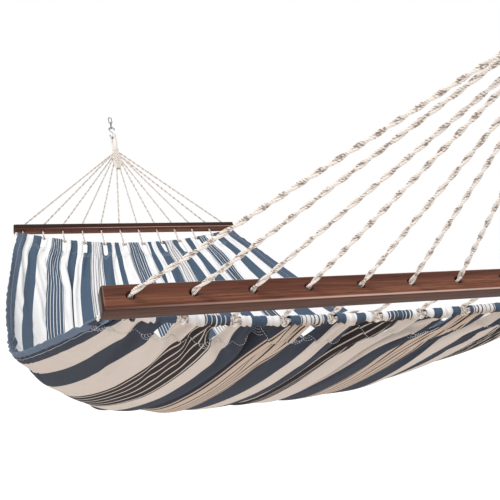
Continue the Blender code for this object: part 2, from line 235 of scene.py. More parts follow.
def joined_mesh(name, parts):
    """A mesh from parts of (verts, faces, face uvs or None), with its faces turned outwards."""
    verts, faces, uvs, start = [], [], [], 0
    for part_verts, part_faces, part_uvs in parts:
        part_verts = np.asarray(part_verts, float).reshape(-1, 3)
        verts.append(part_verts)
        faces += [[start + int(i) for i in face] for face in part_faces]
        uvs += part_uvs or [[(0.0, 0.0)] * len(face) for face in part_faces]
        start += len(part_verts)
    mesh = bpy.data.meshes.new(name)
    mesh.from_pydata(np.concatenate(verts).tolist(), [], faces)
    if any(part_uvs for _, _, part_uvs in parts):
        layer = mesh.uv_layers.new(name="flat")
        layer.data.foreach_set("uv", np.array([uv for face in uvs for uv in face], np.float32).ravel())
    shape = bmesh.new()
    shape.from_mesh(mesh)
    bmesh.ops.recalc_face_normals(shape, faces=shape.faces)
    shape.to_mesh(mesh)
    shape.free()
    return mesh


def add_piece(name, parts, material, body, stands_for=()):
    mesh = joined_mesh(name, parts)
    mesh.shade_smooth()
    mesh.materials.append(material)
    piece = new_object(name, mesh)
    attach(piece, body)
    if stands_for:
        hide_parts(*stands_for)
    return piece


def thicken(piece, thickness):
    solidify = piece.modifiers.new("thickness", "SOLIDIFY")
    solidify.thickness = thickness
    solidify.offset = 0.0
    return solidify


def lengths_along(points):
    steps = np.linalg.norm(np.diff(points, axis=0), axis=1)
    return np.concatenate([[0.0], np.cumsum(steps)])


def vectors_at(places, run, vectors):
    """The vectors between those known at each place of run, as np.interp gives numbers."""
    return np.stack([np.interp(places, run, vectors[:, k]) for k in range(3)], axis=1)


def resample(points, spacing, rounding=0):
    """Evenly spaced points along a line, with its corners rounded off by passes of averaging."""
    points = np.asarray(points, float)
    run = lengths_along(points)
    count = max(2, int(round(run[-1] / spacing)) + 1)
    line = vectors_at(np.linspace(0.0, run[-1], count), run, points)
    for _ in range(rounding):
        line[1:-1] = (line[:-2] + 2 * line[1:-1] + line[2:]) / 4
    return line


def carried_frames(points, closed=False):
    """Two normals at each point of a line, which turn no more than the line does."""
    if closed:
        tangents = unit(np.roll(points, -1, axis=0) - np.roll(points, 1, axis=0))
    else:
        tangents = unit(np.gradient(points, axis=0))
    normals = np.empty_like(points)
    normal = unit(np.cross(tangents[0], [0.31, 0.17, 0.93]))      # any way but the line's own
    for index, tangent in enumerate(tangents):
        normal = unit(normal - tangent * normal.dot(tangent))
        normals[index] = normal
    return normals, np.cross(tangents, normals)


def tube_part(points, radii, sides, closed=False, yarn_lay=None, yarn_depth=YARN_DEPTH, uv_start=0.0):
    """A tube as a part for add_piece. Its yarns show where yarn_lay, the length of their turn, is given."""
    points = np.asarray(points, float)
    count = len(points)
    run = lengths_along(points)
    normals, sideways = carried_frames(points, closed)
    turn = 2 * math.pi * np.arange(sides) / sides
    radius = np.broadcast_to(np.asarray(radii, float), (count,))[:, None] * np.ones(sides)
    if yarn_lay:
        twist = 2 * math.pi * run / yarn_lay
        wave = np.abs(np.cos(YARNS * (turn[None] - twist[:, None]) / 2))
        radius = radius * (1 - yarn_depth * (1 - wave))
    rings = points[:, None] + radius[..., None] * round_turn(normals[:, None], sideways[:, None], turn)
    faces, uvs = quads(count, sides, closed, True), []
    for ring in range(count if closed else count - 1):
        after = (ring + 1) % count
        u0, u1 = uv_start + run[ring], uv_start + (run[after] if after else run[ring] + 0.001)
        for v0, v1 in ((side / sides, (side + 1) / sides) for side in range(sides)):
            uvs.append(((u0, v0), (u0, v1), (u1, v1), (u1, v0)))
    if not closed:
        faces += caps(count, sides)
        uvs += [((u, 0.5),) * sides for u in (uv_start, uv_start + run[-1])]
    return rings.reshape(-1, 3), faces, uvs


def rope_parts(points, ply_radius=PLY_RADIUS, twist_radius=PLY_TWIST, lay=ROPE_LAY, plies=2,
               spacing=ROPE_STEP, start_turn=0.0):
    """The plies of a twisted rope along a line."""
    line = resample(points, spacing)
    run = lengths_along(line)
    normals, sideways = carried_frames(line)
    parts = []
    for ply in range(plies):
        turn = 2 * math.pi * (run / lay + ply / plies) + start_turn
        middle = line + twist_radius * round_turn(normals, sideways, turn)
        parts.append(tube_part(middle, ply_radius, PLY_SIDES, yarn_lay=YARN_LAY, uv_start=0.37 * ply))
    return parts


# ---------------------------------------------------------------- material helpers

class Wire:
    """A node's output. Arithmetic on it adds Math nodes."""

    def __init__(self, nodes, socket):
        self.nodes, self.socket = nodes, socket

    def math(self, operation, other=0.0, swapped=False):
        first, second = (other, self) if swapped else (self, other)
        return self.nodes.add("Math", {0: first, 1: second}, operation=operation)[0]

    def __add__(self, other):
        return self.math("ADD", other)

    def __sub__(self, other):
        return self.math("SUBTRACT", other)

    def __rsub__(self, other):
        return self.math("SUBTRACT", other, swapped=True)

    def __mul__(self, other):
        return self.math("MULTIPLY", other)

    def __truediv__(self, other):
        return self.math("DIVIDE", other)

    def __abs__(self):
        return self.math("ABSOLUTE")

    def held(self, low, high):
        return self.math("MAXIMUM", low).math("MINIMUM", high)


class Nodes:
    """Builds one material's nodes. Colours are a Wire or three numbers, and a grey may be one number."""

    def __init__(self, name):
        self.material = bpy.data.materials.new(name)
        self.material.use_nodes = True
        self.tree = self.material.node_tree
        self.shader = self.tree.nodes["Principled BSDF"]

    def put(self, socket, value):
        if isinstance(value, Wire):
            self.tree.links.new(value.socket, socket)
        else:
            socket.default_value = value

    def new(self, kind, inputs, settings):
        node = self.tree.nodes.new("ShaderNode" + kind)
        for key, value in settings.items():
            setattr(node, key, value)
        for key, value in inputs.items():
            self.put(node.inputs[key], value)
        return node

    def add(self, kind, inputs, **settings):
        return [Wire(self, socket) for socket in self.new(kind, inputs, settings).outputs]

    def colour(self, value):
        if isinstance(value, Wire):
            return value
        return (*(value if isinstance(value, tuple) else (value,) * 3), 1.0)

    def mix(self, factor, first, second, blend="MIX"):
        inputs = {0: factor, 6: self.colour(first), 7: self.colour(second)}
        return self.add("Mix", inputs, data_type="RGBA", blend_type=blend)[2]

    def darkened(self, colour, tone):
        return self.mix(1.0, colour, self.add("CombineColor", {0: tone, 1: tone, 2: tone})[0], "MULTIPLY")

    def ramp(self, factor, stops, constant=False):
        node = self.new("ValToRGB", {0: factor}, {})
        node.color_ramp.interpolation = "CONSTANT" if constant else "LINEAR"
        elements = node.color_ramp.elements
        while len(elements) < len(stops):
            elements.new(0.5)
        for element, (position, _) in zip(elements, stops):
            element.position = position
        for element, (_, colour) in zip(elements, stops):
            element.color = self.colour(colour)
        return Wire(self, node.outputs[0])

    def noise(self, vector, scale, detail=3.0, roughness=0.5, distortion=0.0, turn=(0.0, 0.0, 0.0)):
        mapped = self.add("Mapping", {"Vector": vector, "Scale": scale, "Rotation": turn})[0]
        return self.add("TexNoise", {"Vector": mapped, "Scale": 1.0, "Detail": detail,
                                     "Roughness": roughness, "Distortion": distortion})[0]

    def bump(self, height, strength, distance, under=None):
        inputs = {"Strength": strength, "Distance": distance, "Height": height}
        return self.add("Bump", {**inputs, "Normal": under} if under else inputs)[0]

    def uv(self):
        """The place on the flat cloth or along the rope, whole and in its two parts."""
        flat = self.add("UVMap", {}, uv_map="flat")[0]
        return flat, *self.add("SeparateXYZ", {0: flat})[:2]

    def place(self):
        return Wire(self, self.new("TexCoord", {}, {}).outputs["Object"])

    def finish(self, colour, roughness, normal=None, **fixed):
        self.put(self.shader.inputs["Base Color"], self.colour(colour))
        self.put(self.shader.inputs["Roughness"], roughness)
        if normal:
            self.put(self.shader.inputs["Normal"], normal)
        for key, value in fixed.items():
            self.shader.inputs[key.replace("_", " ")].default_value = value
        return self.material


# ---------------------------------------------------------------- materials

def cloth_material(name, yarns, under=None, sheen=0.06):
    """Yarn-dyed cotton canvas: stripes across the flat cloth, pinstripes in two kinds of band.

    yarns are the colours of the white, ecru, navy and band's ground and of the dark lines. under gives
    darker, warmer copies of them, painted shade, which take over where the mesh attribute "turned" rises.
    """
    n = Nodes(name)
    flat, across, length = n.uv()
    side = abs(across + (n.noise(flat, (60.0, 9.0, 1.0)) - 0.5) * 0.0012)
    share = side / FLAT_HALF

    kind_stops = [(start / FLAT_HALF,
                   (float(kind == "band"), float(kind == "lines"), start / PINSTRIPE % 1.0))
                  for (kind, _), start in zip(STRIPES, STRIPE_STARTS)]
    is_band, is_lines, phase = n.add("SeparateColor", {0: n.ramp(share, kind_stops, constant=True)})
    from_line = abs((side / PINSTRIPE - phase).math("FRACT") - 0.5)
    half_line = is_lines * 0.03 + PINSTRIPE_SHARE / 2
    is_line = ((half_line - from_line) * 30.0 + 0.5).held(0.0, 1.0)
    white_line, dark_line = is_line * is_band, is_line * is_lines

    def dyed(white, ecru, navy, band, line_dark):
        colours = {"white": white, "navy": navy, "band": band, "lines": ecru}
        stops = [(start / FLAT_HALF, colours[kind]) for (kind, _), start in zip(STRIPES, STRIPE_STARTS)]
        return n.mix(dark_line, n.mix(white_line, n.ramp(share, stops, constant=True), white), line_dark)

    colour = dyed(*yarns)
    # Painted shade: the colours go over to their darker, warmer copies where the cloth is folded under
    if under:
        turned = Wire(n, n.new("Attribute", {}, {"attribute_name": "turned"}).outputs["Fac"])
        colour = n.mix(turned, colour, dyed(*under))

    slub = n.noise(flat, (900.0, 14.0, 1.0), 2.0)
    cross = n.noise(flat, (14.0, 900.0, 1.0), 2.0)
    mottle = n.noise(flat, (16.0, 9.0, 1.0), 4.0, 0.6)
    colour = n.darkened(colour, slub * 0.16 + cross * 0.12 + mottle * 0.14 + 0.79)

    warp, weft = 0.0011, 0.0014
    weave = (across * (2 * math.pi / warp)).math("SINE") * (length * (2 * math.pi / weft)).math("SINE")
    crumple = n.noise(flat, (26.0, 12.0, 1.0), 5.0, 0.62, 0.4)
    normal = n.bump(weave, 0.25, 0.00025, n.bump(crumple, 0.35, 0.006))
    return n.finish(colour, slub * 0.14 + 0.80, normal, Sheen_Weight=sheen, Sheen_Roughness=0.5,
                    Specular_IOR_Level=1.6 * sheen)


def rope_material(name, cream, brown, amount, yarn=YARN_LAY):
    """Twisted cotton rope with brown yarns among the cream ones: fewer of them, the higher amount is."""
    n = Nodes(name)
    flat, length, turn = n.uv()
    strand = (turn - length / yarn) * float(YARNS)
    groove = abs((strand * math.pi).math("SINE"))
    dash_at = n.add("CombineXYZ", {0: length * 210.0, 1: strand * 1.3})[0]
    dashes = n.noise(dash_at, (1.0, 1.0, 1.0), 1.0, 0.4)
    cluster = (length * (4 * math.pi / ROPE_LAY)).math("SINE") * 0.11
    fleck = ((dashes + cluster - amount) * 14.0).held(0.0, 0.85)
    mottle = n.noise(flat, (90.0, 3.0, 1.0), 3.0)
    colour = n.mix(mottle * 0.35, cream, (cream[0] * 0.80, cream[1] * 0.74, cream[2] * 0.68))
    colour = n.mix(fleck, colour, brown)
    # Painted shade in the grooves between the yarns
    colour = n.mix(0.8, colour, n.ramp(groove, ((0.0, 0.62), (0.45, 1.0))), "MULTIPLY")
    fibre = n.noise(flat, (2600.0, 60.0, 1.0), 2.0, turn=(0.0, 0.0, 0.35))
    normal = n.bump(fibre, 0.35, 0.0003, n.bump(groove, 0.5, 0.0006))
    return n.finish(colour, 0.88, normal, Sheen_Weight=0.25, Sheen_Roughness=0.6, Specular_IOR_Level=0.2)


def wood_material():
    """Hardwood with a dark reddish walnut stain: long grain, pores and a satin coat, with painted light and
    shade on its faces and a painted highlight along its long arrises.
    """
    n = Nodes("stained_wood")
    place = n.place()
    warp = n.noise(place, (1.4, 9.0, 9.0), 3.0)
    bands = n.noise(place, (1.1, 34.0, 34.0), 4.0, 0.55, 0.6)
    fine = n.noise(place, (6.0, 420.0, 420.0), 3.0, 0.6)
    pores = n.noise(place, (30.0, 1100.0, 1100.0), 1.0, 0.5)
    colour = n.ramp(bands * 0.75 + warp * 0.35,
                    ((0.36, (0.020, 0.0090, 0.0064)), (0.45, (0.052, 0.0180, 0.0114)),
                     (0.55, (0.094, 0.0315, 0.0190)), (0.66, (0.182, 0.072, 0.041)),
                     (0.78, (0.066, 0.0245, 0.0150))))
    colour = n.mix(n.ramp(fine, ((0.35, 0.0), (0.7, 0.55))), colour, (0.044, 0.0175, 0.0125))
    dark = n.ramp(pores, ((0.60, 0.0), (0.68, 0.7)))
    colour = n.mix(dark, colour, (0.018, 0.008, 0.005))
    x, y, z = n.add("SeparateXYZ", {0: place})
    # Painted light and shade: the drilled faces are lightened and the other two darkened
    wide = abs(y) * (2 / BAR_DEPTH) - abs(z) * (2 / BAR_WIDTH)
    colour = n.darkened(colour, (wide * 6.0 + 0.5).held(0.0, 1.0) * 0.66 + 0.52)
    # A painted highlight along the long arrises, brighter towards +x
    beside, below = BAR_DEPTH / 2 - abs(y), BAR_WIDTH / 2 - abs(z)
    corner = (beside * beside + below * below).math("SQRT")
    arris_highlight = ((0.0029 - corner) * 1500.0).held(0.0, 1.0)
    highlight_strength = (x * 2.2 + warp * 1.1 + 0.52).held(0.08, 0.85)
    colour = n.mix(arris_highlight * highlight_strength, colour, (0.54, 0.36, 0.30))
    # The stain soaks deeper into the end grain
    end_grain = ((abs(x) - (BAR_LENGTH / 2 - 0.6 * BAR_EDGE)) * 900.0).held(0.0, 0.78)
    colour = n.mix(end_grain, colour, (0.012, 0.006, 0.005))
    normal = n.bump(dark, 0.3, -0.0003, n.bump(fine, 0.25, 0.0006))
    return n.finish(colour, fine * 0.18 + 0.30, normal, Coat_Weight=0.11, Coat_Roughness=0.14,
                    Specular_IOR_Level=0.07)


def zinc_material():
    """Bright zinc plating, slightly dulled and streaked."""
    n = Nodes("zinc_plate")
    place = n.place()
    cloud = n.noise(place, (160.0, 160.0, 160.0), 4.0, 0.6)
    streak = n.noise(place, (900.0, 300.0, 300.0), 2.0)
    colour = n.ramp(cloud, ((0.3, (0.20, 0.205, 0.215)), (0.7, (0.36, 0.365, 0.375))))
    return n.finish(colour, cloud * 0.25 + 0.16, n.bump(streak, 0.12, 0.0004), Metallic=1.0)


def floor_material():
    n = Nodes("pale_floor")
    mottle = n.noise(n.place(), (0.7, 0.7, 0.7), 2.0)
    colour = n.ramp(mottle, ((0.0, (0.955, 0.95, 0.945)), (1.0, (0.975, 0.97, 0.965))))
    return n.finish(colour, 0.75, Specular_IOR_Level=0.1, Emission_Color=(1.0, 0.99, 0.98, 1.0),
                    Emission_Strength=FLOOR_GLOW)


# ---------------------------------------------------------------- the bed's surface, as in the CAD model

def sag_share(t, power):
    """0 at the bars and 1 midway, for t from 0 to 1 along the hammock."""
    def rounded(tau):
        return (tau * tau + SAG_ROUNDING ** 2) ** (power / 2)
    return 1 - (rounded(2 * t - 1) - rounded(0.0)) / (rounded(1.0) - rounded(0.0))


def hem_inset(u):
    return HEM_INSET_EDGE + (HEM_INSET_MIDDLE - HEM_INSET_EDGE) * (1 - u * u)


def half_width_at(t):
    return HALF_WIDTH_HEM + (HALF_WIDTH_MIDDLE - HALF_WIDTH_HEM) * np.sin(math.pi * t)


def smooth_step(x):
    x = np.clip(x, 0.0, 1.0)
    return x * x * (3 - 2 * x)


def bed_point(u, share, end="near"):
    """Points of the bed's surface: u from -1 to 1 across, share from 0 to 1 from the given end's hem."""
    inset = hem_inset(u)
    y = inset + (BAR_SPAN - 2 * inset) * share
    t = y / BAR_SPAN
    middle = -SAG_MIDDLE * sag_share(t, SAG_POWER_MIDDLE)
    edge = -SAG_EDGE * sag_share(t, SAG_POWER_EDGE)
    z = middle + (edge - middle) * np.abs(u) ** TROUGH_POWER - DROP
    other = ENDS[1 - ENDS.index(end)]
    lift = LIFT[end] * smooth_step(1 - share / 0.2) + LIFT[other] * smooth_step(1 - (1 - share) / 0.2)
    z = z + lift * (1 - u * u) ** 2
    return BAR_CENTRE + np.stack(np.broadcast_arrays(u * half_width_at(t), y, z), axis=-1)


def hem_frame(u, end="near"):
    """Points of a hem's fold, the way into the bed and the way up from the cloth, in near coordinates."""
    step = 0.002
    start = bed_point(u, 0.0, end)
    inward = unit(bed_point(u, step, end) - start)
    sideways = unit(bed_point(u + step, 0.0, end) - bed_point(u - step, 0.0, end))
    return start, inward, unit(np.cross(sideways, inward))


def rope_x(index):
    return (index - (ROPES - 1) / 2) * PITCH


def slot_places():
    """u of each rope at the hem, where it comes straight from its hole."""
    x = np.array([rope_x(index) for index in range(ROPES)])
    u = x / HALF_WIDTH_HEM
    for _ in range(4):
        u = x / half_width_at(hem_inset(u) / BAR_SPAN)
    return u


# ---------------------------------------------------------------- the cloth

def cloth_columns():
    """The cloth's lengthwise lines: places on the flat cloth, which gaps are slots, and u at the hem."""
    knots, open_u = [-FLAT_HALF], [-1.0]
    half_slot = SLOT_HALF / HALF_WIDTH_HEM
    for slot, u in zip(SLOTS, slot_places()):
        knots += [slot - CUT_HALF, slot + CUT_HALF]
        open_u += [u - half_slot, u + half_slot]
    knots.append(FLAT_HALF)
    open_u.append(1.0)
    columns, is_slot = [knots[0]], []
    for index, (left, right) in enumerate(zip(knots, knots[1:])):
        slotted = index % 2 == 1
        count = CUT_CELLS if slotted else max(2, round((right - left) / CELL))
        columns += list(np.linspace(left, right, count + 1)[1:])
        is_slot += [slotted] * count
    columns = np.array(columns)
    return columns, np.array(is_slot), np.interp(columns, knots, open_u)


def cloth_rows():
    """How far each crosswise line is from hem to hem, as shares, closer together at the hems."""
    at_hem, growth, grown_at = 0.0028, 0.0052, 0.12
    depths = [0.0]
    while depths[-1] < 0.5:
        depths.append(depths[-1] + (at_hem + growth * min(1.0, depths[-1] / grown_at)))
    half = np.array(depths) * 0.5 / depths[-1]
    return np.concatenate([half, 1 - half[-2::-1]])


def between_slots(columns, values, first, last):
    """Values at the slots, and at the cloth's first and last edge, spread over its columns."""
    return np.interp(columns, [-FLAT_HALF, *SLOTS, FLAT_HALF], [first, *values, last])


def pull_together(a, b, rest, share, firmness):
    """Moves two blocks of points so that their pairs come to be their rest length apart."""
    gap = b - a
    length = np.sqrt((gap * gap).sum(-1, keepdims=True)) + 1e-9
    move = gap * (firmness * share * (length - rest[..., None]) / length)
    a += move
    b -= move


def pleat_strengths(rows):
    """How far each deep pleat is formed at each crosswise line: middles, half widths, strengths, ways."""
    near = rows * BAR_SPAN
    far = (1 - rows) * BAR_SPAN
    forming = {"near": smooth_step((near - 0.03) / 0.09) * (1 - smooth_step((near - 0.62) / 0.45)),
               "far": smooth_step((far - 0.16) / 0.20) * (1 - smooth_step((1.22 - near) / 0.34))}
    for end in ENDS:
        for middle, half in PLEATS[end]:
            yield middle, half, forming[end], 1.0 if end == "near" else -1.0


def lay_out_rows(columns, rows, hem_u):
    """Where each column lies across each row, and how high the deep pleats stand there."""
    fine = np.linspace(-1, 1, 241)
    centres = (columns[:-1] + columns[1:]) / 2
    widths = np.diff(columns)
    depth = np.minimum(rows, 1 - rows) * BAR_SPAN
    pleats = list(pleat_strengths(rows))
    across = np.empty((len(rows), len(columns)))
    height = np.zeros_like(across)
    for row, share in enumerate(rows):
        run = lengths_along(bed_point(fine, share))
        excess = 1 - run[-1] / widths.sum()
        taken = np.zeros(len(centres))
        for middle, half, forming, _ in pleats:
            inside = smooth_step((1.25 - np.abs(centres - middle) / half) / 0.5)
            taken += forming[row] * PLEAT_TIGHTNESS * inside
        share_taken = (taken * widths).sum() / widths.sum()
        limit = min(1.0, excess / share_taken) if share_taken > 1e-6 else 1.0
        density = 1 - taken * limit
        density = density * (1 - excess) / ((density * widths).sum() / widths.sum())
        place = np.concatenate([[0.0], np.cumsum(density * widths)])
        loose = np.interp(place * run[-1] / place[-1], run, fine)
        held = smooth_step(1 - depth[row] / 0.20)
        across[row] = hem_u[row] * held + loose * (1 - held)
        for middle, half, forming, way in pleats:
            tightness = forming[row] * PLEAT_TIGHTNESS * limit
            rise = half * math.sqrt(max(0.0, 1 - (1 - tightness) ** 2)) if tightness > 0 else 0.0
            far_off = np.sqrt(((columns - middle) / half) ** 2 + 0.02)
            height[row] += way * rise * np.clip(1.1 - far_off, 0.0, 1.0)
    return across, height


def small_folds(chance, rows, depth, phase, smooth_u):
    """The ridges that start at the slots and die out at different distances, their lean, and a wobble.

    phase counts the slots across the cloth.
    """
    near_slot = np.clip(np.round(phase), 0, len(SLOTS) - 1).astype(int)
    swell = np.empty_like(smooth_u)
    lean = np.empty_like(smooth_u)
    for rows_here in (rows < 0.5, rows >= 0.5):
        strength, reach, tip = (chance.uniform(low, high, len(SLOTS))[near_slot][None]
                                for low, high in ((0.7, 1.4), (0.06, 0.18), (-1.0, 1.0)))
        swell[rows_here] = np.exp(-(depth[rows_here][:, None] / reach) ** 1.5) * strength
        lean[rows_here] = swell[rows_here] * tip
    wobble = np.zeros_like(smooth_u)
    for _ in range(14):
        waves, drift = chance.uniform(4, 16), chance.uniform(-3, 3)
        start = chance.uniform(0, 2 * math.pi)
        wobble += np.sin(2 * math.pi * (waves * smooth_u / 2 + drift * rows[:, None]) + start)
    turn = 2 * math.pi * phase
    return np.cos(turn)[None] * swell, np.sin(turn)[None] * lean, wobble


def relax(points, columns, shape, rest_across, cut, is_slot, depth, up, side):
    """Lets the cloth's points come to rest: threads keep their lengths, and the folds stay where they are."""
    pinned = points[[0, -1]].copy()
    seeded = points.copy()
    rest_down = np.linalg.norm(np.diff(shape, axis=0), axis=-1)
    diagonal = np.sqrt(np.diff(columns)[None] ** 2 + (0.5 * (rest_down[:, :-1] + rest_down[:, 1:])) ** 2)
    diagonal_share = np.full(diagonal.shape, 0.5)
    diagonal_share[np.ix_(cut[:-1] | cut[1:], is_slot)] = 0.0
    bend_across = rest_across[:, :-1] + rest_across[:, 1:]
    bend_share = np.full(bend_across.shape, 0.5)
    bend_share[np.ix_(cut, is_slot[:-1] | is_slot[1:])] = 0.0
    bend_down = rest_down[:-1] + rest_down[1:]
    freedom = (0.003 + 0.011 * smooth_step(depth / 0.10) - 0.005 * smooth_step((depth - 0.35) / 0.5))[:, None]
    before = points.copy()
    for _ in range(ROUNDS):
        speed = (points - before) * SPEED_KEPT
        before = points.copy()
        points += speed
        points[..., 2] -= SAG_STEP
        for first in (0, 1):
            pull_together(points[:, first:-1:2], points[:, first + 1::2], rest_across[:, first::2], 0.5, 1.0)
            pull_together(points[first:-1:2], points[first + 1::2], rest_down[first::2], 0.5, 1.0)
        for first in (0, 1):
            for turn in (0, 1):
                low, high = slice(turn, -1, 2), slice(turn + 1, None, 2)
                rest = diagonal[first::2, turn::2]
                share = diagonal_share[first::2, turn::2, None]
                for left, right in ((low, high), (high, low)):
                    pull_together(points[first:-1:2, left], points[first + 1::2, right], rest, share,
                                  SHEAR_FIRMNESS)
        for first in range(4):
            pull_together(points[:, first:-2:4], points[:, first + 2::4], bend_across[:, first::4],
                          bend_share[:, first::4, None], BEND_FIRMNESS["across"])
            pull_together(points[first:-2:4], points[first + 2::4], bend_down[first::4], 0.5,
                          BEND_FIRMNESS["down"])
        offset = points - seeded
        height = (offset * up).sum(-1)
        over = height - np.clip(height, -0.45 * freedom, freedom)
        points -= up * (TAKEN_BACK["up"] * over)[..., None]
        drift = (offset * side).sum(-1)
        points -= side * (TAKEN_BACK["side"] * drift)[..., None]
        points[0], points[-1] = pinned
    for _ in range(2):
        points[1:-1, 1:-1] = 0.6 * points[1:-1, 1:-1] + 0.1 * (
            points[:-2, 1:-1] + points[2:, 1:-1] + points[1:-1, :-2] + points[1:-1, 2:])
    for _ in range(14):
        for edge in (slice(0, 3), slice(-3, None)):
            points[1:-1, edge] = (points[:-2, edge] + 2 * points[1:-1, edge] + points[2:, edge]) / 4


def hang_cloth(columns, is_slot, open_u, rows):
    """The gathered cloth at rest, as a grid of points by row and column, its gathers and its way up."""
    chance = np.random.default_rng(11)
    depth = np.minimum(rows, 1 - rows) * BAR_SPAN
    stretch = np.where(rows < 0.5, SLOT_STRETCH["near"], SLOT_STRETCH["far"])
    opened = np.sqrt(np.clip(1 - (depth / (SLEEVE_DEPTH * stretch)) ** 6, 0.0, 1.0))
    shut_u = between_slots(columns, slot_places(), -1.0, 1.0)
    u, stand = lay_out_rows(columns, rows, open_u * opened[:, None] + shut_u * (1 - opened[:, None]))
    every = rows[:, None] * np.ones(len(columns))
    base = bed_point(u, every)
    smooth_u = np.broadcast_to(columns / FLAT_HALF, u.shape)
    shape = bed_point(smooth_u, every)
    up = unit(np.array([vectors_at(*row) for row in zip(u, smooth_u, grid_normals(shape))]))
    side = unit(np.cross(np.gradient(base, axis=0), up))

    phase = between_slots(columns, range(len(SLOTS)), -0.35, len(SLOTS) - 0.65)
    ridge, flank, wobble = small_folds(chance, rows, depth, phase, smooth_u)
    points = base + up * (stand + RIDGE * ridge + WOBBLE * wobble)[..., None]
    points += side * (LEAN * flank)[..., None]
    # The hem is drawn up on its cord, in gathers of two lengths that are less beside the ropes
    gathers = np.sin(2 * math.pi * (columns / 0.0165 + 0.35 * np.sin(columns * 31.0)))
    gathers = gathers + 0.6 * np.sin(2 * math.pi * (columns / 0.0271 + 0.21 * np.sin(columns * 47.0)))
    ripple = GATHER * gathers * (1.0 - 0.75 * np.exp(-((phase - np.round(phase)) / 0.10) ** 2))
    for row in (0, -1):
        points[row] = base[row] + up[row] * (0.5 * ripple)[:, None]

    cut = depth < SLEEVE_DEPTH * stretch
    slot_wide = 2 * SLOT_HALF * (1 + (stretch - 1) * smooth_step(depth / 0.02))
    slot_wide = slot_wide * opened + 2 * CUT_HALF * (1 - opened)
    rest_across = np.broadcast_to(np.diff(columns), (len(rows), len(columns) - 1)).copy()
    rest_across[np.ix_(cut, is_slot)] = slot_wide[cut][:, None] / CUT_CELLS
    relax(points, columns, shape, rest_across, cut, is_slot, depth, up, side)

    # The slots stay as wide as at the hem, and push the cloth between them together
    for left in np.flatnonzero(is_slot)[::CUT_CELLS]:
        right = left + CUT_CELLS
        gap = points[cut, right] - points[cut, left]
        wide = np.linalg.norm(gap, axis=1)
        move = gap * ((slot_wide[cut] - wide) / (2 * wide))[:, None]
        for step in range(SLOT_PUSH):
            share = 1 - step / SLOT_PUSH
            if left - step >= 0:
                points[cut, left - step] -= share * move
            if right + step < len(columns):
                points[cut, right + step] += share * move
    # The side edges are ruffled along their folded hems
    for edge in (0, -1):
        ruffle = np.zeros(len(rows))
        for _ in range(7):
            wave = chance.uniform(*RUFFLE_WAVES)
            ruffle += np.sin(2 * math.pi * (rows * BAR_SPAN / wave + chance.uniform(0, 1)))
        near_edge = RUFFLE * np.exp(-np.abs(columns - columns[edge]) / 0.022)
        points += up * (ruffle[:, None] * near_edge)[..., None]
        points += side * (3 / 7 * np.roll(ruffle, 3)[:, None] * near_edge)[..., None]
    return points, ripple, up


def grid_normals(points):
    return unit(np.cross(np.gradient(points, axis=1), np.gradient(points, axis=0)))


def fold_hem(end, points, up_base, open_u, ripple, mean_run, hem_rows):
    """The layers that turn round a hem's cord and back under, and their places on the flat cloth."""
    start, inward, up = hem_frame(open_u, end)
    layers, depths = [], []
    for degrees in HEM_TURN:
        turn = math.radians(degrees)
        reach = SLEEVE_RADIUS + ripple * math.sin(turn / 2)
        layer = start - up * SLEEVE_RADIUS + reach[:, None] * (math.cos(turn) * up - math.sin(turn) * inward)
        layers.append(at(end, layer))
        depths.append(-SLEEVE_RADIUS * turn)
    for row in range(1, hem_rows + 1):
        closing = 1 - smooth_step(mean_run[row] / 0.024)
        drop = (2 * SLEEVE_RADIUS + ripple) * closing + 2.0 * CLOTH_THICK * (1 - closing)
        from_hem = row if end == "near" else -1 - row
        layers.append(points[from_hem] - up_base[from_hem] * drop[:, None])
        depths.append(-SLEEVE_RADIUS * math.pi - mean_run[row])
    return np.array(layers), np.array(depths)


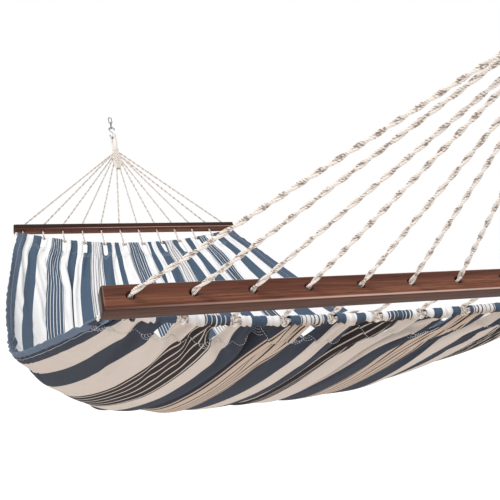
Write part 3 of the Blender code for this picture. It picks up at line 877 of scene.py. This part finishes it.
def build_cloth(face, back):
    """The bed's cloth: its sheet, the hems folded round their cords and the slots for the ropes."""
    columns, is_slot, open_u = cloth_columns()
    rows = cloth_rows()
    points, ripple, up_base = hang_cloth(columns, is_slot, open_u, rows)
    steps = np.linalg.norm(np.diff(points, axis=0), axis=-1)
    mean_run = np.concatenate([[0.0], np.cumsum(steps.mean(axis=1))])
    hem_rows = {end: int((rows * BAR_SPAN < SLEEVE_DEPTH * SLOT_STRETCH[end]).sum()) for end in ENDS}
    (near_layers, near_depths), (far_layers, far_depths) = (
        fold_hem(end, points, up_base, open_u, ripple, mean_run, hem_rows[end]) for end in ENDS)
    grid = np.concatenate([near_layers[::-1], points, far_layers])
    lengthwise = np.concatenate([near_depths[::-1], mean_run, mean_run[-1] - far_depths])
    width, bends = len(columns), len(HEM_TURN)
    first_top = len(near_layers)
    last_top = first_top + len(rows) - 1

    # Slots are left open in the hems, and the folded-under strips take the second material, the cloth's
    # colours with painted shade
    faces, uvs, sides = [], [], []
    for quad in quads(len(grid), width):
        row, column = divmod(quad[0], width)
        in_hem = row < first_top + hem_rows["near"] or row >= last_top - hem_rows["far"]
        if in_hem and is_slot[column]:
            continue
        faces.append(quad)
        uvs.append([(columns[spot % width], lengthwise[spot // width]) for spot in quad])
        sides.append(int(row < hem_rows["near"] or row >= len(grid) - 1 - hem_rows["far"]))
    # The two layers are sewn together along both sides of each slot
    for column in range(width):
        if is_slot[min(column, width - 2)] == is_slot[max(column - 1, 0)]:
            continue
        walls = [(first_top + row, first_top - bends - row, 1) for row in range(3, hem_rows["near"])]
        walls += [(last_top - row, last_top + bends + row, -1) for row in range(3, hem_rows["far"])]
        for top, low, way in walls:
            faces.append(tuple(row * width + column for row in (top, top + way, low - way, low)))
            uvs.append([(columns[column] + shift, lengthwise[top]) for shift in (0.0, 0.0, 0.002, 0.002)])
            sides.append(1)
    # Painted shade: the share of each row that is folded under, by which the face material goes over to its
    # shaded copy
    turned = np.zeros(len(grid))
    for number, degrees in enumerate(HEM_TURN):
        turned[[first_top - 1 - number, last_top + 1 + number]] = smooth_step((degrees - 95) / 80)
    turned[:first_top - bends] = turned[last_top + bends + 1:] = 1.0

    used = np.unique([index for corners in faces for index in corners])
    renumber = np.full(len(grid) * width, -1)
    renumber[used] = np.arange(len(used))
    faces = [renumber[list(corners)].tolist() for corners in faces]
    cloth = add_piece("cloth_bed", [(grid.reshape(-1, 3)[used], faces, uvs)], face, "hammock",
                      ["bed_cloth"])
    # The thickened sheet's other side takes the material after its face's, so the painted-shade copy for the
    # underside is there twice
    for _ in range(2):
        cloth.data.materials.append(back)
    cloth.data.polygons.foreach_set("material_index", sides)
    layer = cloth.data.attributes.new("turned", "FLOAT", "POINT")
    layer.data.foreach_set("value", np.repeat(turned, width)[used])
    thicken(cloth, CLOTH_THICK).material_offset = 1
    return columns, points, hem_rows


def build_side_hems(columns, points, normals, material):
    """The strips folded over the cloth's long edges."""
    run = lengths_along(points[:, len(columns) // 2])
    for name, order in (("left", 1), ("right", -1)):
        place, up = points[:, ::order], SIDE_HEM_HEIGHT * normals[:, ::order]
        reach = FLAT_HALF - np.abs(columns[::order])
        inward = unit(place[:, 1] - place[:, 0])
        over = list(reversed(range(int((reach < SIDE_HEM).sum()))))
        section = [place[:, column] + up[:, column] for column in over]
        for degrees in (60, 30, 0, -30, -60):
            turn = math.radians(degrees)
            section.append(place[:, 0] - inward * SIDE_HEM_FOLD * math.cos(turn) + up[:, 0] * math.sin(turn))
        section += [place[:, column] - up[:, column] for column in range(3)]
        across = FLAT_HALF - 0.9 * np.concatenate([reach[over], np.zeros(5), reach[:3]])
        faces = quads(len(section), len(run))
        uvs = [[(across[spot // len(run)], run[spot % len(run)]) for spot in face] for face in faces]
        hem = add_piece(f"cloth_side_hem_{name}", [(np.array(section), faces, uvs)], material, "hammock")
        thicken(hem, SIDE_HEM_THICK)


def stitch_parts(lines):
    """Rows of short stitches: each line is its points on the cloth's face, and the way out of it."""
    parts = []
    sides = 5
    # A stitch's outline: the share of its length, its height and its radius
    outline = ((0.0, -0.0002, 0.0002), (0.25, 0.00015, 0.00042),
               (0.75, 0.00015, 0.00042), (1.0, -0.0002, 0.0002))
    turn = 2 * math.pi * np.arange(sides) / sides
    shell = quads(len(outline), sides, round_columns=True) + caps(len(outline), sides)
    for place, out in lines:
        run = lengths_along(place)
        starts = np.arange(0.0, run[-1] - STITCH, STITCH + STITCH_GAP)
        if len(starts) == 0:
            continue
        ways = unit(vectors_at(starts + STITCH, run, place) - vectors_at(starts, run, place))
        rings = []
        for share, height, radius in outline:
            spot = vectors_at(starts + share * STITCH, run, place)
            up = unit(vectors_at(starts + share * STITCH, run, out))
            beside = np.cross(ways, up)
            ring = radius * round_turn(up[:, None], beside[:, None], turn)
            rings.append((spot + up * height)[:, None] + ring)
        faces, uvs = [], []
        for number, start in enumerate(starts):
            for face in shell:
                faces.append(tuple(number * len(outline) * sides + spot for spot in face))
                uvs.append(((start, 0.0), (start, 0.2), (start + 0.001, 0.2), (start + 0.001, 0.0))
                           if len(face) == 4 else ((start, 0.0),) * sides)
        parts.append((np.stack(rings, axis=1), faces, uvs))
    return parts


def build_stitching(columns, points, normals, hem_rows, material):
    """Thread along the side hems, across the end hems and in arcs round the foot of each slot."""
    run = lengths_along(points[:, len(columns) // 2])
    total = run[-1]
    near_foot, far_foot = run[hem_rows["near"]], total - run[hem_rows["far"]]

    def on_cloth(across, lengthwise, height):
        i = np.clip(np.interp(across, columns, np.arange(len(columns))), 0, len(columns) - 1.001)
        j = np.clip(np.interp(lengthwise, run, np.arange(len(run))), 0, len(run) - 1.001)
        i0, j0 = i.astype(int), j.astype(int)
        fi, fj = (i - i0)[:, None], (j - j0)[:, None]

        def blended(grid):
            low = grid[j0, i0] * (1 - fi) + grid[j0, i0 + 1] * fi
            high = grid[j0 + 1, i0] * (1 - fi) + grid[j0 + 1, i0 + 1] * fi
            return low * (1 - fj) + high * fj
        out = unit(blended(normals)) * (1 if height > 0 else -1)
        return blended(points) + out * abs(height), out

    # Heights of the thread over the sheet
    face, back, over_side_hem, under_end_hem = 0.0007, -0.0007, 0.0020, -0.0032
    lines = []
    steps = np.linspace(0.004, total - 0.004, 900)
    for sign in (-1, 1):
        across = np.full(len(steps), sign * (FLAT_HALF - SIDE_HEM + 0.003))
        lines += [on_cloth(across, steps, height) for height in (over_side_hem, back)]
    edges = [-FLAT_HALF + 0.002, *SLOTS, FLAT_HALF - 0.002]
    for left, right in zip(edges, edges[1:]):
        across = np.linspace(left + CUT_HALF + 0.003, right - CUT_HALF - 0.003, 60)
        for depth in (near_foot - 0.004, far_foot + 0.004):
            lengthwise = np.full(len(across), depth)
            lines += [on_cloth(across, lengthwise, height) for height in (face, under_end_hem)]
    turn = np.linspace(0.06, math.pi - 0.06, 36)
    for slot in SLOTS:
        for foot, way in ((near_foot + 0.002, 1), (far_foot - 0.002, -1)):
            for radius in ARCS:
                across = slot + radius * np.cos(turn)
                lengthwise = foot + way * radius * np.sin(turn)
                inside = np.abs(across) < FLAT_HALF - 0.002
                lines += [on_cloth(across[inside], lengthwise[inside], height)
                          for height in (face, back)]
    add_piece("cloth_stitching", stitch_parts(lines), material, "hammock")


# ---------------------------------------------------------------- ropes, hem cords

def rope_route(index, end):
    """A rope's line, in near coordinates: from its tail round the hem cord, through the bar, into the clew.

    Also gives the hem cord's place there, the way to it from the bar, and the way up.
    """
    hole = BAR_CENTRE + rope_x(index) * ACROSS
    start, _, up_cloth = hem_frame(slot_places()[index], end)
    cord = start - up_cloth * SLEEVE_RADIUS
    cord[0] = rope_x(index)
    mouth_in = hole - HOLE_OUT * (BAR_DEPTH / 2 + 0.001)
    mouth_out = hole + HOLE_OUT * (BAR_DEPTH / 2)
    bight = HEM_CORD_RADIUS + PLY_RADIUS
    away = unit(cord - mouth_in)
    up = unit(np.cross(ACROSS, away))
    points = [cord - up * bight - away * 0.012]
    points += list(cord + bight * round_turn(up, away, np.radians(range(180, -1, -30))))
    points += [mouth_in, mouth_out]
    outer_share = (abs(index - (ROPES - 1) / 2) - 0.5) / (ROPES / 2 - 1)
    front_or_back = CLEW_PLIES if index % 2 else -CLEW_PLIES
    aim = along(ROPE_AIM + (ROPE_AIM_OUTER - ROPE_AIM) * outer_share, 0.0, front_or_back)
    goal = unit(aim - mouth_out)
    angle = math.acos(HOLE_OUT.dot(goal))
    side = unit(goal - HOLE_OUT * HOLE_OUT.dot(goal))
    for share in (0.25, 0.5, 0.75, 1.0):
        turn = angle * share
        points.append(mouth_out + ROPE_BEND * (HOLE_OUT * math.sin(turn) + side * (1 - math.cos(turn))))
    # The clew takes it in shortly before its aim
    way = aim - points[-1]
    points.append(points[-1] + way * max(0.0, 1 - 0.020 / np.linalg.norm(way)))
    return np.array(points), cord, away, up


def lashing(centre, first, second, turns, rise):
    """Points round a centre, by two radii of the turns. From end to end they go the way rise."""
    count = int(20 * turns) + 1
    turn = np.linspace(0, 2 * math.pi * turns, count)
    return centre + round_turn(first, second, turn) + np.linspace(-0.5, 0.5, count)[:, None] * rise


def build_ropes(end, material):
    radius = HEM_CORD_RADIUS + 0.0012
    for index in range(ROPES):
        points, cord, away, up = rope_route(index, end)
        parts = rope_parts(at(end, resample(points, ROPE_STEP, rounding=3)), start_turn=1.9 * index)
        hitch = lashing(cord, radius * up, -radius * away, HITCH_TURNS, ACROSS * HITCH_WIDTH)
        parts.append(tube_part(at(end, hitch), HITCH_RADIUS, PLY_SIDES, yarn_lay=0.008))
        number = f"{index + 1:02d}"
        add_piece(f"{end}_harness_rope_{number}", parts, material, "hammock",
                  [f"{end}_rope_{number}"])


def build_hem_cord(end, material):
    """The cord inside a hem, with an overhand knot past each side of the cloth."""
    knot_u = 1 + KNOT_PAST / HALF_WIDTH_HEM
    start, _, up = hem_frame(np.linspace(-knot_u, knot_u, 90), end)
    parts = rope_parts(at(end, start - up * SLEEVE_RADIUS), ply_radius=0.0023, twist_radius=0.0017, lay=0.030,
                       spacing=0.003)
    turn = np.linspace(0, 2 * math.pi, 48, endpoint=False)[:, None]
    for sign in (-1, 1):
        start, inward, up = hem_frame(sign * knot_u, end)
        centre = start - up * SLEEVE_RADIUS
        run = unit(np.cross(inward, up))
        knot = centre + KNOT_SIZE * ((np.cos(turn) + 0.45 * np.cos(2 * turn)) * up
                                     + (np.sin(turn) - 0.45 * np.sin(2 * turn)) * inward
                                     + 0.62 * np.sin(3 * turn) * run)
        parts.append(tube_part(at(end, knot), KNOT_RADIUS, PLY_SIDES, closed=True, yarn_lay=0.008,
                               yarn_depth=0.2))
        tail = [centre, centre + sign * run * 0.006 - up * 0.003, centre + sign * run * 0.0085 - up * 0.009]
        parts += rope_parts(at(end, resample(tail, 0.001, rounding=3)), ply_radius=0.0018,
                            twist_radius=0.0012, lay=0.02, spacing=0.0015)
    add_piece(f"{end}_drawn_hem_cord", parts, material, "hammock", [f"{end}_hem_cord"])


# ---------------------------------------------------------------- clew, loop, hook, links, bar

def clew_section(distance):
    """Half width and half depth of the clew."""
    distances, widths = zip(*CLEW_PROFILE)
    half_width = np.interp(distance, distances, widths)
    return half_width, np.minimum(half_width, CLEW_HALF_DEPTH)


def clew_points(distance, growth, turn):
    """Points round the clew, at angles round its section grown by a little."""
    half_width, half_depth = clew_section(distance)
    return (BAR_CENTRE + distance[..., None] * OUT
            + ((half_width + growth) * np.cos(turn))[..., None] * ACROSS
            + ((half_depth + growth) * np.sin(turn))[..., None] * UPRIGHT)


def build_clew(end, material):
    """The weave that gathers the ropes: two families of cords cross over and under each other on a core."""
    low, high = CLEW_PROFILE[0][0], CLEW_PROFILE[-1][0]
    distance = np.linspace(low - 0.004, high, 70)
    parts = []
    for family in (1, -1):
        for strand in range(CLEW_STRANDS):
            turn = CLEW_TURNS * (distance - low) / (high - low) + strand / CLEW_STRANDS
            turn = family * 2 * math.pi * turn
            weave = CLEW_WEAVE * family * np.cos(CLEW_STRANDS * turn)
            line = clew_points(distance, weave - CLEW_CORDS_IN, turn)
            parts.append(tube_part(at(end, line), CLEW_STRAND_RADIUS, 8, yarn_lay=0.009,
                                   uv_start=0.13 * strand))
    rings, sides = 24, 20
    core = clew_points(np.linspace(low, high, rings)[:, None], -CLEW_CORE_IN,
                       2 * math.pi * np.arange(sides) / sides)
    parts.append((at(end, core), quads(rings, sides, round_columns=True) + caps(rings, sides), None))
    # A whipping closes the weave below the loop
    half_width, half_depth = clew_section(high - 0.006)
    waist = lashing(along(high - 0.006), ACROSS * (half_width + 0.0008), UPRIGHT * (half_depth + 0.0008),
                    turns=5.0, rise=OUT * 0.011)
    parts.append(tube_part(at(end, waist), WHIPPING_RADIUS, 8, yarn_lay=0.006, yarn_depth=0.2))
    add_piece(f"{end}_woven_clew", parts, material, "hammock", [f"{end}_clew"])


def build_loop(end, material):
    """The hanging loop: a bundle of rope turns, which twists as it rises to its crown."""
    foot = CLEW_PROFILE[-1][0] + GAP
    crown = HOOK_FOOT + 2 * HOOK_WIRE + GAP + LOOP_RADIUS - LOOP_ARCH
    straight = foot + LOOP_STRAIGHT
    # One half of its line: half its width, the distance and the twist
    line = [(LOOP_FEET, foot - 0.006, 0.0), (LOOP_FEET, foot, 0.0)]
    for share in np.linspace(0, 1, 12):
        ease = smooth_step(share)
        line.append((LOOP_FEET + (LOOP_ARCH - LOOP_FEET) * ease, straight + (crown - straight) * share,
                     LOOP_TWIST * ease))
    for turn in np.linspace(0, math.pi / 2, 10)[1:]:
        line.append((LOOP_ARCH * math.cos(turn), crown + LOOP_ARCH * math.sin(turn), LOOP_TWIST))
    points = []
    for sign, run in ((1, line), (-1, line[-2::-1])):
        for wide, distance, twist in run:
            points.append(along(distance, sign * wide * math.cos(twist), sign * wide * math.sin(twist)))
    parts = rope_parts(at(end, resample(points, 0.0016, rounding=2)), ply_radius=0.0027, twist_radius=0.0037,
                       lay=0.062, plies=5, spacing=0.0016)
    add_piece(f"{end}_rope_loop", parts, material, "hammock", [f"{end}_loop"])


def hook_points():
    """The S-hook's line, from tip to tip."""
    foot = HOOK_FOOT + HOOK_WIRE + HOOK_CURL
    between = HOOK_LENGTH - 2 * HOOK_WIRE - 2 * HOOK_CURL
    lean = math.asin(2 * HOOK_CURL / between)
    sweep = HOOK_TIP_TURN + math.pi + lean
    turn = lean - sweep * np.linspace(1, 0, 40)
    half = np.stack([foot + HOOK_CURL * np.sin(turn), HOOK_CURL * np.cos(turn)], axis=1)
    other = [2 * foot + between, 0.0] - half[::-1]
    return [along(distance, sideways) for distance, sideways in np.concatenate([half, other])]


def build_hook(end, material):
    line = resample(hook_points(), 0.0008, rounding=4)
    run = lengths_along(line)
    blunt = np.minimum(run, run[-1] - run) / HOOK_WIRE
    radii = HOOK_WIRE * np.sqrt(np.clip(1 - (1 - np.clip(blunt, 0.0, 1.0)) ** 2, 0.06, 1))
    add_piece(f"{end}_hook_wire", [tube_part(at(end, line), radii, 20)], material, f"{end}_hook",
              [f"{end}_s_hook"])


def build_link(end, place, body, start, wide, material):
    """A welded link, wide in the way given, with the slight swell of its weld on one long side."""
    radius = LINK_INNER_WIDTH / 2 + LINK_WIRE
    low = start + LINK_INNER_WIDTH / 2
    high = start + LINK_INNER_LENGTH - LINK_INNER_WIDTH / 2
    path = []
    for centre, first in ((high, 0.0), (low, math.pi)):
        for turn in np.linspace(first, first + math.pi, 24):
            path.append((centre + radius * math.sin(turn), radius * math.cos(turn)))
    path = np.array(path)
    dense = []
    for a, b in zip(path, np.roll(path, -1, axis=0)):
        steps = max(1, int(np.linalg.norm(b - a) / 0.0008))
        dense += [a + (b - a) * k / steps for k in range(steps)]
    distance, across = np.array(dense).T
    line = BAR_CENTRE + distance[:, None] * OUT + across[:, None] * wide
    weld = np.exp(-(((distance - (low + high) / 2) / 0.0016) ** 2)) * (across > 0)
    wire = tube_part(at(end, line), LINK_WIRE * (1 + 0.14 * weld), 18, closed=True)
    add_piece(f"{end}_chain_link_{place}", [wire], material, body, [f"{end}_{place}_link"])


def drill_mesh(name):
    """What the drill takes out of a bar: its holes, and the easing round their mouths."""
    ease, sides = 0.0016, 40
    half = ((BAR_DEPTH, HOLE_RADIUS + ease), (BAR_DEPTH / 2 + 0.0002, HOLE_RADIUS + ease),
            (BAR_DEPTH / 2 - 0.4 * ease, HOLE_RADIUS + 0.35 * ease),
            (BAR_DEPTH / 2 - 1.3 * ease, HOLE_RADIUS))
    y, radius = np.array([(-y, radius) for y, radius in half] + list(reversed(half))).T[..., None]
    turn = 2 * math.pi * np.arange(sides) / sides
    rings = np.stack(np.broadcast_arrays(radius * np.cos(turn), y, radius * np.sin(turn)), axis=-1)
    faces = quads(len(rings), sides, round_columns=True) + caps(len(rings), sides)
    return joined_mesh(name, [(rings + rope_x(index) * ACROSS, faces, None) for index in range(ROPES)])


def build_bar(end, material):
    """A hardwood bar, its edges rounded and its holes drilled and eased."""
    shape = bmesh.new()
    bmesh.ops.create_cube(shape, size=1.0)
    bmesh.ops.scale(shape, vec=(BAR_LENGTH, BAR_DEPTH, BAR_WIDTH), verts=shape.verts)
    bmesh.ops.bevel(shape, geom=shape.edges[:] + shape.verts[:], offset=BAR_EDGE, segments=6, profile=0.5,
                    affect="EDGES")
    mesh = bpy.data.meshes.new(f"{end}_bar_wood")
    shape.to_mesh(mesh)
    shape.free()
    bar = new_object(f"{end}_bar_wood", mesh)
    drill = new_object(f"{end}_drill_shape", drill_mesh(f"{end}_drill_shape"))
    cut = bar.modifiers.new("holes", "BOOLEAN")
    cut.operation = "DIFFERENCE"
    cut.solver = "EXACT"
    cut.object = drill
    bpy.context.view_layer.update()
    drilled = bpy.data.meshes.new_from_object(bar.evaluated_get(bpy.context.evaluated_depsgraph_get()))
    bar.modifiers.clear()
    bar.data = drilled
    bpy.data.objects.remove(drill)
    drilled.name = f"{end}_bar_wood"
    drilled.materials.clear()
    drilled.materials.append(material)
    drilled.shade_smooth()
    drilled.set_sharp_from_angle(angle=math.radians(32.0))
    bar.location = at(end, BAR_CENTRE)
    bar.rotation_euler = (-HOLE_ANGLE if end == "near" else HOLE_ANGLE, 0.0, 0.0)
    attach(bar, f"{end}_bar")
    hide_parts(f"{end}_spreader_bar")


# ---------------------------------------------------------------- camera, floor and lights

def build_camera():
    data = bpy.data.cameras.new("camera")
    data.lens = CAMERA_LENS
    data.sensor_width = 36.0
    camera = new_object("camera", data)
    camera.location = CAMERA_PLACE
    camera.rotation_euler = (CAMERA_TILT, 0.0, CAMERA_TURN)
    bpy.context.scene.camera = camera


def build_stage():
    """A pale floor, and a white dome that nothing but the camera sees."""
    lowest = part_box("bed_cloth")[0].z - BED_CLEARANCE
    far = FLOOR_HALF
    floor_mesh = bpy.data.meshes.new("floor")
    corners = [(-far, -far, lowest), (far, -far, lowest), (far, far, lowest), (-far, far, lowest)]
    floor_mesh.from_pydata(corners, [], [(0, 1, 2, 3)])
    floor_mesh.materials.append(floor_material())
    floor = new_object("floor", floor_mesh)

    shape = bmesh.new()
    bmesh.ops.create_icosphere(shape, subdivisions=4, radius=BACKDROP_RADIUS)
    dome_mesh = bpy.data.meshes.new("backdrop")
    shape.to_mesh(dome_mesh)
    shape.free()
    dome_mesh.materials.append(Nodes("backdrop_white").finish(
        0.0, 0.5, Emission_Color=(1.0, 1.0, 1.0, 1.0), Emission_Strength=1.0, Specular_IOR_Level=0.0))
    dome = new_object("backdrop", dome_mesh)
    for flag in ("visible_diffuse", "visible_glossy", "visible_transmission", "visible_shadow",
                 "visible_volume_scatter"):
        setattr(dome, flag, False)


def add_area(name, place, target, size, watts, colour):
    data = bpy.data.lights.new(name, "AREA")
    data.shape = "DISK"
    data.size = size
    data.energy = watts
    data.color = colour
    lamp = new_object(name, data)
    lamp.location = place
    lamp.rotation_euler = (Vector(target) - Vector(place)).to_track_quat("-Z", "Y").to_euler()


def build_lights():
    middle = (0.0, float(CENTRE_LINE), -0.8)
    add_area("key", (-2.6, 0.2, 3.3), middle, 2.4, 165.0, (1.0, 0.985, 0.96))
    add_area("front_fill", (-2.5, -4.0, 1.0), (0.0, 0.6, -0.6), 3.0, 40.0, (1.0, 0.97, 0.94))
    add_area("edge_light", (2.9, -2.6, -1.1), (0.1, 0.44, -0.52), 0.13, 10.0, (1.0, 0.93, 0.88))
    world = bpy.data.worlds.new("studio")
    bpy.context.scene.world = world
    world.use_nodes = True
    background = world.node_tree.nodes["Background"]
    background.inputs["Color"].default_value = (0.97, 0.985, 1.0, 1.0)
    background.inputs["Strength"].default_value = 0.84


# ---------------------------------------------------------------- the whole

def main():
    build_camera()
    build_stage()
    build_lights()
    bpy.context.scene.view_settings.view_transform = "Standard"

    top_yarns = ((0.74, 0.735, 0.74), (0.67, 0.655, 0.65), (0.060, 0.094, 0.142), (0.054, 0.086, 0.132),
                 (0.045, 0.060, 0.095))
    # Painted shade: darker, warmer copies of the same yarn colours, for the cloth's underside and its
    # folded-under hems
    shaded_yarns = ((0.475, 0.405, 0.358), (0.420, 0.330, 0.268), (0.036, 0.039, 0.052), (0.027, 0.022, 0.021),
                   (0.042, 0.024, 0.018))
    hem_yarns = ((0.74, 0.735, 0.74), (0.67, 0.655, 0.65), (0.070, 0.098, 0.145), (0.070, 0.098, 0.145),
                 (0.10, 0.12, 0.17))
    face = cloth_material("striped_cloth", top_yarns, shaded_yarns)
    # The painted-shade copy of the cloth, the material of its underside
    back = cloth_material("striped_cloth_painted_shade", shaded_yarns, sheen=0.015)
    hem = cloth_material("folded_hem", hem_yarns)
    rope = rope_material("flecked_rope", (0.69, 0.63, 0.58), (0.20, 0.135, 0.105), 0.565)
    cord = rope_material("cream_cord", (0.78, 0.72, 0.67), (0.34, 0.24, 0.19), 0.70)
    thread = rope_material("sewing_thread", (0.62, 0.64, 0.68), (0.55, 0.56, 0.60), 0.9, 0.002)
    wood = wood_material()
    zinc = zinc_material()

    columns, points, hem_rows = build_cloth(face, back)
    normals = grid_normals(points)
    build_side_hems(columns, points, normals, hem)
    build_stitching(columns, points, normals, hem_rows, thread)
    for end in ENDS:
        build_ropes(end, rope)
        build_hem_cord(end, cord)
        build_clew(end, cord)
        build_loop(end, cord)
        build_hook(end, zinc)
        build_link(end, "top", "anchors", TOP_LINK_FOOT, ACROSS, zinc)
        build_link(end, "lower", f"{end}_link", HOOK_TOP, UPRIGHT, zinc)
        build_bar(end, wood)


main()
